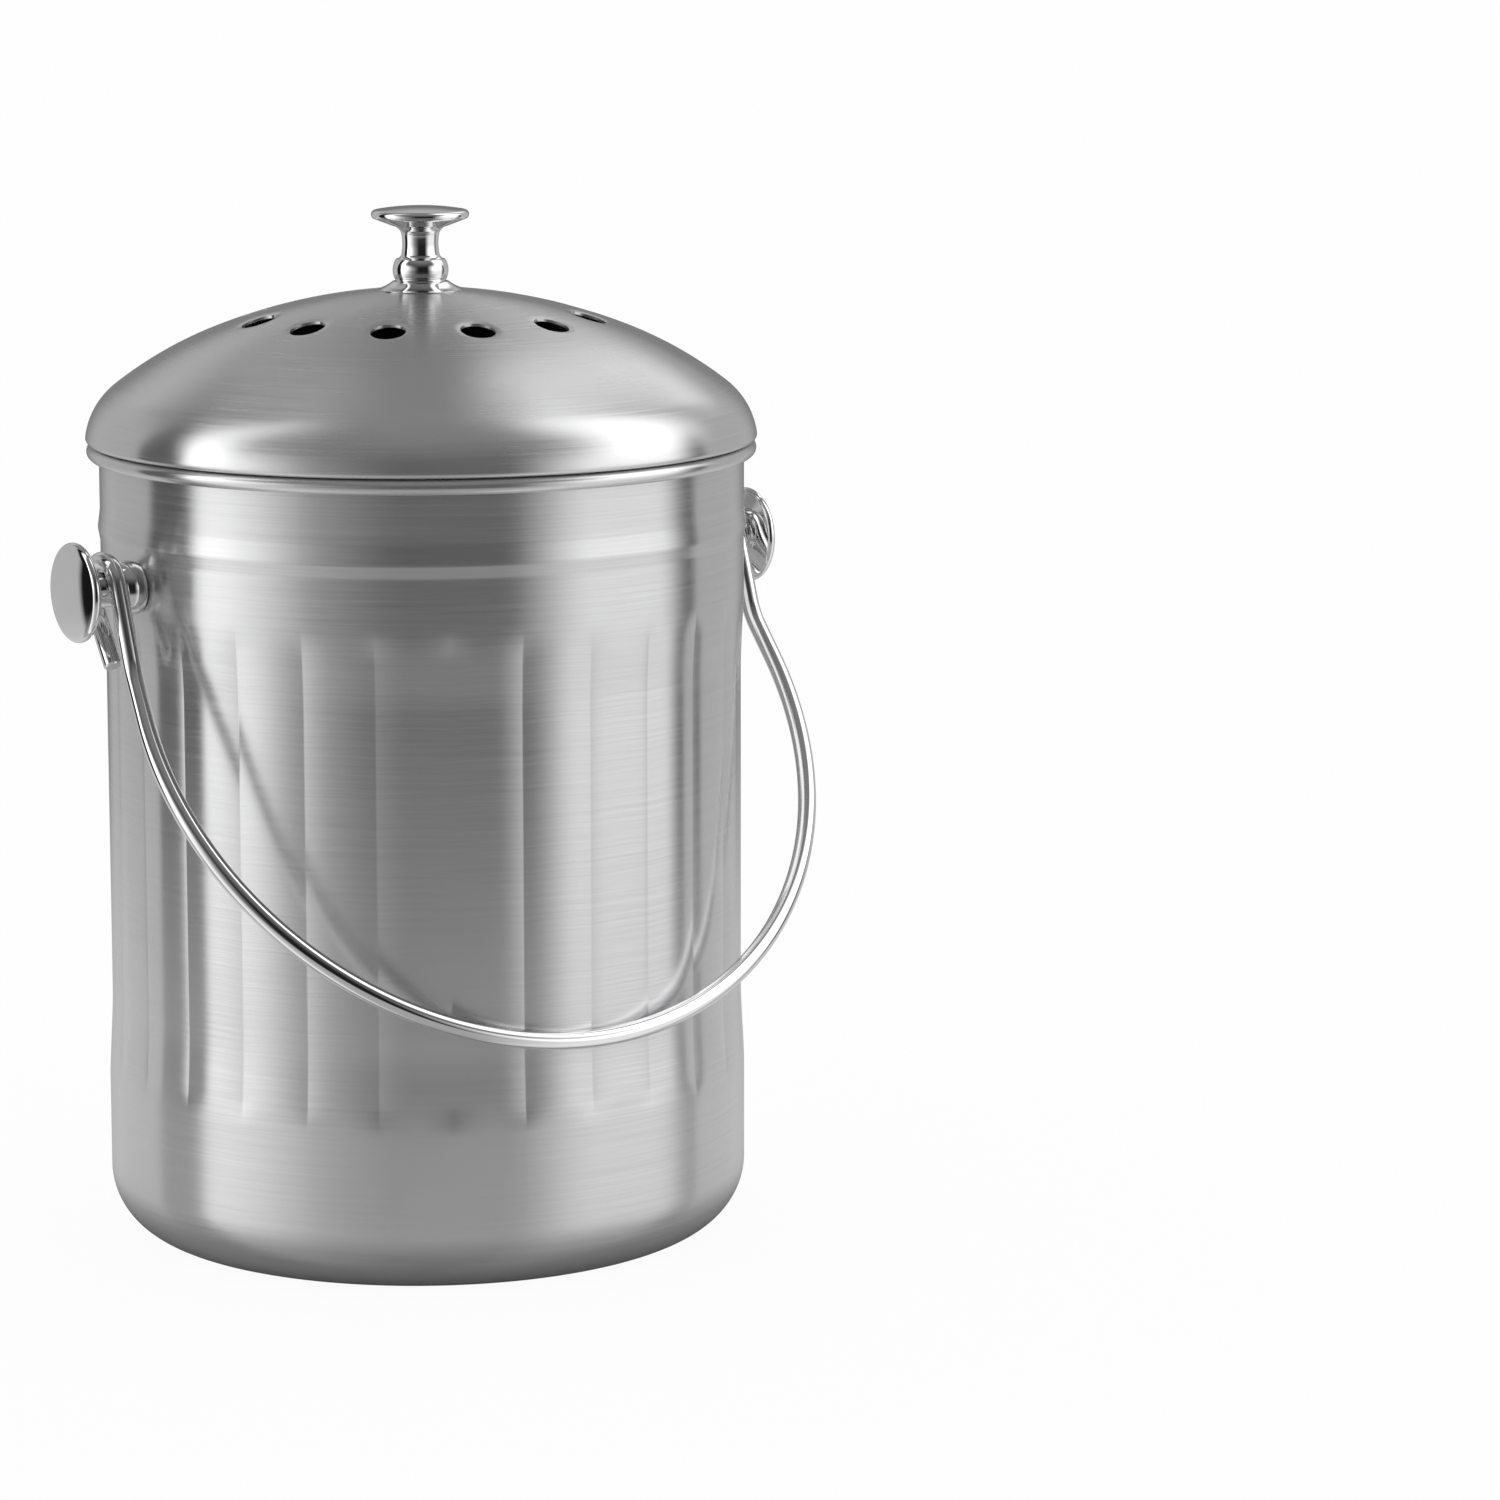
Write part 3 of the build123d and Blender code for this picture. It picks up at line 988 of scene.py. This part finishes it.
@dataclass
class Lid:
    """The domed lid, its plug ring, collar and knob.

    The vents' edges sink by `vent_sink` over `vent_roll`. The collar's waist is given in shares of its radius and
    height, and each edge pair says how far in and how far along it is taken off.
    """

    sheet: float = 0.7
    lid_r: float = 92.5
    lip_bend: float = 1.3
    lip_inner_r: float = 88.4
    shoulder_r: float = 20.6
    shoulder_drop: float = 1.3
    shoulder_sweep: float = 52.0
    flank_r: float = 108.0
    flank_end: float = 68.0
    vents: int = 12
    vent_r: float = 4.8
    vent_ring_r: float = 46.5
    vent_phase: float = 19.1
    vent_roll: float = 1.5
    vent_sink: float = 0.35
    hole_r: float = 1.9
    cutter: float = 10.0
    collar_r: float = 11.8
    collar_top_r: float = 7.9
    collar_h: float = 2.0
    collar_gap: float = 0.05
    collar_edge: float = 0.25
    collar_waist: Point = (0.79, 0.55)
    collar_top_edge: Point = (0.2, 0.15)
    ring_t: float = 0.6
    ring_bend: float = 0.5
    step_gap: float = 0.3
    step_h: float = 0.8
    step_edge: Point = (0.15, 0.2)
    plug_depth: float = 12.0
    dome_sides: int = 384
    collar_sides: int = 96
    ring_sides: int = 256
    knob: TurnedKnob = field(default_factory=TurnedKnob)

    def arcs(self, lip_z: float) -> list[tuple[Point, float, float, float]]:
        """Middle, radius and end angles of the shoulder, the flank and the cap.

        Args:
            lip_z: Height of the lip's underside.

        Returns:
            One row for each arc, from the lip up.
        """
        shoulder = (self.lid_r - self.shoulder_r, lip_z - self.shoulder_drop)
        turn = math.asin((self.shoulder_drop + self.lip_bend) / (self.shoulder_r - self.lip_bend))
        a = math.radians(self.shoulder_sweep)
        drop = self.shoulder_r - self.flank_r
        flank = (shoulder[0] + drop * math.cos(a), shoulder[1] + drop * math.sin(a))
        b = math.radians(self.flank_end)
        cap_r = self.flank_r + flank[0] / math.cos(b)
        cap = (0.0, flank[1] + (self.flank_r - cap_r) * math.sin(b))
        return [
            (shoulder, self.shoulder_r, math.degrees(turn), self.shoulder_sweep),
            (flank, self.flank_r, self.shoulder_sweep, self.flank_end),
            (cap, cap_r, self.flank_end, 90.0),
        ]

    def cap_z(self, lip_z: float, radius: float) -> float:
        """Finds how high the cap's outside is.

        Args:
            lip_z: Height of the lip's underside.
            radius: Distance from the axis.

        Returns:
            The height.
        """
        middle, cap_r, _, _ = self.arcs(lip_z)[-1]
        return middle[1] + math.sqrt(cap_r**2 - radius**2)

    def side(self, lip_z: float, inset: float) -> list[Point]:
        """Draws the dome's line from the lip to the axis.

        Args:
            lip_z: Height of the lip's underside.
            inset: 0 for the outside, or the sheet for the inside.

        Returns:
            The points, as radius and height.
        """
        steps = (22, 26, 64)
        return joined(*(arc(m, r - inset, a, b, n) for (m, r, a, b), n in zip(self.arcs(lip_z), steps)))

    def dome_outline(self, lip_z: float) -> list[Point]:
        """Draws the dome's half section, outside and inside, with the turned-in lip.

        Args:
            lip_z: Height of the lip's underside.

        Returns:
            The points, as radius and height.
        """
        (shoulder, radius, turn, _) = self.arcs(lip_z)[0]
        bend = (shoulder[0] + (radius - self.lip_bend) * math.cos(math.radians(turn)), lip_z + self.lip_bend)
        return joined(
            self.side(lip_z, 0.0)[::-1],
            arc(bend, self.lip_bend, turn, -90, 10),
            [(self.lip_inner_r, lip_z), (self.lip_inner_r, lip_z + self.sheet), (bend[0], lip_z + self.sheet)],
            arc(bend, self.lip_bend - self.sheet, -90, turn, 6),
            self.side(lip_z, self.sheet),
        )

    def vent_middles(self) -> list[Vector]:
        """Finds the vents' places.

        Returns:
            Their middles as seen from above, in metres.
        """
        ring = self.vent_ring_r * MM
        turns = [math.radians(self.vent_phase + 360 * i / self.vents) for i in range(self.vents)]
        return [Vector((ring * math.cos(a), ring * math.sin(a), 0.0)) for a in turns]

    def dome(self, lip_z: float) -> bpy.types.Object:
        """Makes the dome: spun, its vents' edges rolled under, then punched.

        Args:
            lip_z: Height of the lip's underside.

        Returns:
            The dome.
        """
        made = spun("lid_dome_skin", self.dome_outline(lip_z), self.dome_sides)
        middles = self.vent_middles()
        reach = (self.vent_r + self.vent_roll) * MM
        for v in made.data.vertices:
            flat = Vector((v.co.x, v.co.y, 0.0))
            if abs(flat.length - self.vent_ring_r * MM) > reach:
                continue
            near = min((flat - m).length for m in middles)
            depth = max(0.0, 1.0 - max(0.0, near - self.vent_r * MM) / (self.vent_roll * MM))
            v.co.z -= self.vent_sink * MM * depth * depth if near < reach else 0.0
        vent_z = self.cap_z(lip_z, self.vent_ring_r) * MM
        drilled(made, [Matrix.Translation((m.x, m.y, vent_z)) for m in middles], self.vent_r, self.cutter)
        top = Matrix.Translation((0.0, 0.0, self.cap_z(lip_z, 0.0) * MM))
        drilled(made, [top], self.hole_r, self.cutter)
        return made

    def collar_outline(self, lip_z: float) -> list[Point]:
        """Draws the flared collar's half section, hollowed to the dome.

        Args:
            lip_z: Height of the lip's underside.

        Returns:
            The points, as radius and height.
        """
        foot = self.cap_z(lip_z, self.collar_r) + self.collar_gap
        top = self.cap_z(lip_z, 0.0) + self.collar_h
        across, up = self.collar_waist
        waist = (self.collar_r * across, foot + (top - foot) * up)
        edge_in, edge_down = self.collar_top_edge
        flare = through((self.collar_r, foot + self.collar_edge), waist, (self.collar_top_r, top - edge_down), 14)
        radii = (self.hole_r, 4.0, 6.0, 8.0, 10.0, self.collar_r - 0.1)
        under = [(r, self.cap_z(lip_z, r) + self.collar_gap) for r in radii]
        return joined(under, flare, [(self.collar_top_r - edge_in, top), (self.hole_r, top)])

    def ring_outline(self, lip_z: float, end_z: float) -> list[Point]:
        """Draws the plug ring's half section.

        Args:
            lip_z: Height of the lip's underside.
            end_z: Height of the ring's lower end.

        Returns:
            The points, as radius and height.
        """
        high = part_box("lid_plug_ring")[1]
        flange = high[0] / MM
        top = high[2] / MM
        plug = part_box("filter_retainer")[1][0] / MM
        inner = plug - self.ring_t
        step = inner - self.step_gap
        step_in = step - self.ring_t
        seam = lip_z - self.plug_depth
        seat = top - self.ring_t
        bend = self.ring_bend
        edge_in, edge_up = self.step_edge
        return joined(
            [(flange, seat), (flange, top), (inner + bend, top)],
            [(inner, top - bend), (inner, seam), (step_in, seam - self.step_h)],
            [(step_in, end_z), (step, end_z), (step, seam - self.step_h + self.step_gap)],
            [(plug - edge_in, seam), (plug, seam + edge_up), (plug, seat - bend), (plug + bend, seat)],
        )

    def build(
        self, domed: bpy.types.Material, brushed: bpy.types.Material, polished: bpy.types.Material
    ) -> None:
        """Makes the dome, collar, knob and plug ring.

        Args:
            domed: Finish of the dome.
            brushed: Finish of the ring.
            polished: Finish of the collar and the knob.
        """
        lip_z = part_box("lid_dome")[0][2] / MM
        dressed(self.dome(lip_z), domed, "lid", "brushed", "lid_dome")
        collar = spun("knob_collar_turned", self.collar_outline(lip_z), self.collar_sides)
        dressed(collar, polished, "lid", "polished", "knob_collar")
        seat = Matrix.Translation((0.0, 0.0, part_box("lid_knob")[0][2]))
        dressed(self.knob.made("lid_knob_turned", seat), polished, "lid", "polished", "lid_knob")
        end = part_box("lid_plug_ring")[0][2] / MM
        ring = spun("plug_ring_skin", self.ring_outline(lip_z, end), self.ring_sides)
        dressed(ring, brushed, "lid", "brushed", "lid_plug_ring")


@dataclass
class FilterTray:
    """The retainer cap with its window, and the charcoal pad that it holds."""

    sheet: float = 0.6
    corner_r: float = 1.8
    window_r: float = 51.0
    hem_w: float = 3.2
    hem_edge: float = 0.15
    rim_edge: float = 0.2
    pad_edge: float = 1.5
    pad_rows: int = 60
    crumb: float = 0.22
    crumb_size: float = 2.6
    tray_sides: int = 256
    pad_sides: int = 240

    def tray_outline(self, low: float, high: float, rim: float) -> list[Point]:
        """Draws the cap's half section.

        Args:
            low: Height of its underside.
            high: Height of its rim.
            rim: Its outer radius.

        Returns:
            The points, as radius and height.
        """
        corner = (rim - self.corner_r, low + self.corner_r)
        hem = self.window_r + self.sheet
        inner = self.window_r + self.hem_w
        inside = rim - self.sheet
        over = low + self.sheet
        hem_top = over + self.sheet
        return joined(
            [(rim, high - self.rim_edge), (rim - self.rim_edge, high), (inside, high), (inside, corner[1])],
            arc(corner, self.corner_r - self.sheet, 0, -90, 8),
            [(corner[0], over), (inner, over), (inner, hem_top - self.hem_edge)],
            [(inner - self.hem_edge, hem_top), (hem, hem_top)],
            arc((hem, over), self.sheet, 90, 270, 14),
            [(corner[0], low)],
            arc(corner, self.corner_r, -90, 0, 12),
        )

    def pad(self, low: float, high: float, rim: float) -> bpy.types.Object:
        """Makes the foam pad with a crumbly face, kept inside its solid.

        Args:
            low: Height of its underside.
            high: Height of its top.
            rim: Its radius.

        Returns:
            The pad.
        """
        e = self.pad_edge
        flat = rim - e
        rows = [flat - flat * i / self.pad_rows for i in range(self.pad_rows)]
        bottom = [(r, low) for r in reversed(rows)]
        top = [(r, high) for r in rows]
        edge = joined(arc((flat, low + e), e, -90, 0, 6), arc((flat, high - e), e, 0, 90, 6))
        outline = joined([(0.0, low)], bottom, edge, top, [(0.0, high)])
        made = spun("charcoal_foam", outline, self.pad_sides)
        texture = bpy.data.textures.new("crumbs", "CLOUDS")
        texture.noise_scale = self.crumb_size * MM
        bump = made.modifiers.new("crumbs", "DISPLACE")
        bump.texture = texture
        bump.texture_coords = "LOCAL"
        bump.strength = 2 * self.crumb * MM  # the texture mostly swings over half its range
        bump.mid_level = 1.0  # only inwards
        return made

    def build(self, brushed: bpy.types.Material, foam: bpy.types.Material) -> None:
        """Makes the cap and the pad.

        Args:
            brushed: Finish of the cap.
            foam: Finish of the pad.
        """
        low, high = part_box("filter_retainer")
        outline = self.tray_outline(low[2] / MM, high[2] / MM, high[0] / MM)
        tray = spun("retainer_cap", outline, self.tray_sides)
        dressed(tray, brushed, "filter_tray", "brushed", "filter_retainer")
        low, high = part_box("charcoal_filter")
        pad = self.pad(low[2] / MM, high[2] / MM, high[0] / MM)
        dressed(pad, foam, "filter_tray", "charcoal", "charcoal_filter")


# ------------------------------------------------------------------ studio
@dataclass(frozen=True)
class Panel:
    """A light or dark panel that stands round the caddy and is seen in its steel.

    Angles are degrees to the right of the camera's side, in the order in which the panel fades in and out.

    Attributes:
        fade_in: Where it starts and where it is full.
        fade_out: Where it starts to fade and where it ends.
        level: Its brightness against the room's, negative for a dark panel.
        high: Sines of the heights at which its top starts to fade and ends.
        low: Sines of the heights at which its foot starts and is full.
    """

    fade_in: Point
    fade_out: Point
    level: float
    high: Point = (0.85, 1.0)
    low: Point = (-2.0, -1.0)

    def seen(self, turn: Signal, rise_by: Signal) -> Signal:
        """The panel's share in a direction.

        Args:
            turn: Degrees to the right of the camera's side.
            rise_by: Sine of the height.

        Returns:
            What it adds to the room's brightness.
        """
        across = turn.ramp(*self.fade_in) * turn.ramp(*reversed(self.fade_out))
        up = rise_by.ramp(*self.low) * rise_by.ramp(*reversed(self.high))
        return across * up * self.level


@dataclass
class Studio:
    """White floor, soft wrap-round light and the camera at the photograph's place.

    Turns are degrees to the right of the camera's side, and pairs of heights are sines at which something
    starts and is full.

    Attributes:
        view_turn: Where the camera stands, in degrees from the caddy's front.
        distance: How far it stands off, in metres.
        height: Its height in metres.
        pan: Turn off the caddy's axis, in degrees.
        tilt: Look down, in degrees.
        focal_px: Focal length in pixels of the photograph.
        frame_px: Width of the photograph in pixels.
        sensor: Width of the camera's frame in millimetres.
        room: Brightness of the dim room above and below the horizon.
        room_fall: Heights over which the one passes into the other.
        behind: Brightness of the wall behind the caddy.
        behind_edge: Turns at which that wall starts and is full.
        behind_high: Heights of its top.
        behind_gap: Turns of the darker gap in its middle.
        gap_dark: How much darker the gap is.
        gap_high: Heights of the gap's top.
        lift: How much brighter the panels get with height.
        lift_high: Heights over which they do.
        sky: Brightness overhead.
        sky_high: Heights at which it sets in.
        least: The least brightness of any direction.
        fill: Light on matt surfaces.
        floor_half: Half the floor's width in metres.
        floor_white: Share of the light that the floor throws back.
        floor_shade: Share of the shadow that it keeps.
        paper: Brightness of the paper under the caddy, seen in its steel, at its middle and further out. The dim
            middle is a painted shadow of the caddy.
        paper_r: Radii in metres at which it starts to brighten out of the painted shadow, is bright, starts to end
            and ends.
        paper_share: How much of the paper covers the room once it is bright.
        panels: The panels.
    """

    view_turn: float = -30.0
    distance: float = 1.6
    height: float = 0.411
    pan: float = math.degrees(0.0565)
    tilt: float = math.degrees(0.1715)
    focal_px: float = 5828.0
    frame_px: float = 1500.0
    sensor: float = 36.0
    room: Point = (0.015, 0.035)
    room_fall: Point = (0.02, -0.25)
    behind: float = 0.5
    behind_edge: Point = (110.0, 115.0)
    behind_high: Point = (0.75, 0.35)
    behind_gap: Point = (145.0, 170.0)
    gap_dark: float = 0.65
    gap_high: Point = (0.4, 0.15)
    lift: float = 0.6
    lift_high: Point = (-0.12, 0.15)
    sky: float = 0.22
    sky_high: Point = (0.3, 0.95)
    least: float = 0.01
    fill: float = 0.85
    floor_half: float = 8.0
    floor_white: float = 0.9
    floor_shade: float = 0.05
    # the paper's dim middle, seen in the steel, is a painted shadow of the caddy
    paper: Point = (0.05, 0.85)
    paper_r: tuple[float, float, float, float] = (0.068, 0.15, 0.35, 0.95)
    paper_share: float = 0.5
    panels: tuple[Panel, ...] = (
        Panel((-93.0, -85.0), (-84.0, -34.0), 1.05, (0.25, 0.6)),
        Panel((-93.0, -85.0), (-60.0, -5.0), 0.4, (0.25, 0.6)),
        Panel((27.0, 63.0), (92.0, 110.0), 1.05, (0.25, 0.6)),
        Panel((-104.0, -90.0), (-88.0, -66.0), 1.1, (0.9, 1.0), (0.15, 0.5)),
        Panel((55.0, 90.0), (106.0, 130.0), 1.3, (0.9, 1.0), (0.15, 0.5)),
        Panel((138.0, 150.0), (154.0, 168.0), 0.9, (0.9, 1.0), (0.3, 0.6)),
        Panel((-168.0, -158.0), (-150.0, -138.0), 0.15, (0.9, 1.0), (0.3, 0.6)),
        Panel((-112.0, -108.0), (-97.0, -94.0), -0.12),
    )

    def camera(self) -> None:
        """Makes the camera, level and unshifted, and aims it."""
        data = bpy.data.cameras.new("camera")
        data.sensor_width = self.sensor
        data.lens = self.focal_px / self.frame_px * self.sensor
        data.clip_end = 20.0
        made = linked("camera", data)
        turn = math.radians(self.view_turn)
        made.location = (self.distance * math.sin(turn), -self.distance * math.cos(turn), self.height)
        made.rotation_euler = (math.radians(90.0 - self.tilt), 0.0, math.radians(self.view_turn - self.pan))
        bpy.context.scene.camera = made

    def world(self) -> None:
        """Makes the surroundings: white to the camera, panels and a dim room to the steel."""
        made = bpy.data.worlds.new("studio")
        made.use_nodes = True
        tree = made.node_tree
        tree.nodes.clear()
        x, y, z = split(tree, node(tree, "ShaderNodeTexCoord", {}, {}, "Generated"))
        a = math.radians(self.view_turn)
        ahead = x * math.sin(a) - y * math.cos(a)
        aside = x * math.cos(a) + y * math.sin(a)
        turn = ahead.bearing(aside)
        high, low = self.room
        seen = z.ramp(*self.room_fall) * (low - high) + high
        gap = 1.0 - abs(turn).ramp(*self.behind_gap) * z.ramp(*self.gap_high) * self.gap_dark
        seen = seen + abs(turn).ramp(*self.behind_edge) * z.ramp(*self.behind_high) * gap * self.behind
        lift = z.ramp(*self.lift_high) * self.lift + 1.0
        for panel in self.panels:
            seen = seen + panel.seen(turn, z) * lift
        seen = (seen + z.ramp(*self.sky_high) * self.sky).at_least(self.least)
        camera_ray, glossy_ray = rays(tree)
        lit = glossy_ray * seen + (1.0 - glossy_ray) * self.fill
        strength = camera_ray + (1.0 - camera_ray) * lit
        light = node(tree, "ShaderNodeBackground", {}, {"Color": WHITE, "Strength": strength})
        placed(tree, "ShaderNodeOutputWorld", {}, {"Surface": light})
        bpy.context.scene.world = made

    def floor(self) -> None:
        """Makes the white floor, which keeps a faint shadow and can be looked through from below. To the steel it
        shows a glowing paper with a painted shadow, dim round the caddy's foot.
        """
        half = self.floor_half
        mesh = bpy.data.meshes.new("floor")
        corners = [(-half, -half, 0.0), (half, -half, 0.0), (half, half, 0.0), (-half, half, 0.0)]
        mesh.from_pydata(corners, [], [(0, 1, 2, 3)])
        made = linked("floor", mesh)
        material = bpy.data.materials.new("floor_white")
        material.use_nodes = True
        tree = material.node_tree
        tree.nodes.clear()
        matt = node(tree, "ShaderNodeBsdfDiffuse", {}, {"Color": (*[self.floor_white] * 3, 1.0)})
        glow = node(tree, "ShaderNodeEmission", {}, {"Color": WHITE, "Strength": 1.0})
        off = node(tree, "ShaderNodeVectorMath", {"operation": "LENGTH"}, {0: own_place(tree)}, "Value")
        # The paper seen in the steel glows dim round the caddy's foot and brighter further out: the dim part is a
        # painted shadow.
        near, open_r, held_r, far = self.paper_r
        dim, full = self.paper
        out_of_painted_shadow = off.ramp(near, open_r)
        cover = (1.0 - out_of_painted_shadow * (1.0 - self.paper_share)) * off.ramp(far, held_r)
        paper_grey_with_painted_shadow = tint(tree, out_of_painted_shadow, (dim, dim, dim), (full, full, full))
        sheet = node(tree, "ShaderNodeEmission", {}, {"Color": paper_grey_with_painted_shadow, "Strength": 1.0})
        clear = node(tree, "ShaderNodeBsdfTransparent", {}, {})
        camera_ray, glossy_ray = rays(tree)
        plain = mixed(tree, camera_ray * (1.0 - self.floor_shade), matt, glow)
        above = mixed(tree, glossy_ray, plain, mixed(tree, cover, clear, sheet))
        below = node(tree, "ShaderNodeNewGeometry", {}, {}, "Backfacing")
        placed(tree, "ShaderNodeOutputMaterial", {}, {"Surface": mixed(tree, below, above, clear)})
        mesh.materials.append(material)

    def build(self) -> None:
        """Sets up the view, the light and the floor."""
        self.camera()
        self.world()
        self.floor()
        bpy.context.scene.view_settings.view_transform = "Standard"


def main() -> None:
    """Loads the frame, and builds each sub-assembly and the studio."""
    logging.basicConfig(level=logging.INFO, format="%(name)s: %(message)s")
    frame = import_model()
    brushed = Steel("brushed_steel").material()
    domed = Steel("brushed_dome", roughness=0.23, stretch=0.97).material()
    mirror = Steel("polished_steel", (0.78, 0.78, 0.785), 0.05, 0.01, 2e-7, 0.0, 1.0, smudge=0.02, contrast=0.02)
    polished = mirror.material()
    turned = replace(mirror, name="polished_stud", spin=Spin.SIDEWAYS).material()
    foam = Foam("charcoal").material()
    Bucket().build(brushed, turned)
    Bail().build(polished)
    Lid().build(domed, brushed, polished)
    FilterTray().build(brushed, foam)
    for name, piece in frame["nodes"].items():
        if name.endswith(("screw", "washer")):
            piece.data.materials.clear()
            piece.data.materials.append(polished)
            LOG.info("%s keeps its CAD shape", name)
    Studio().build()


if __name__ == "__main__":
    main()
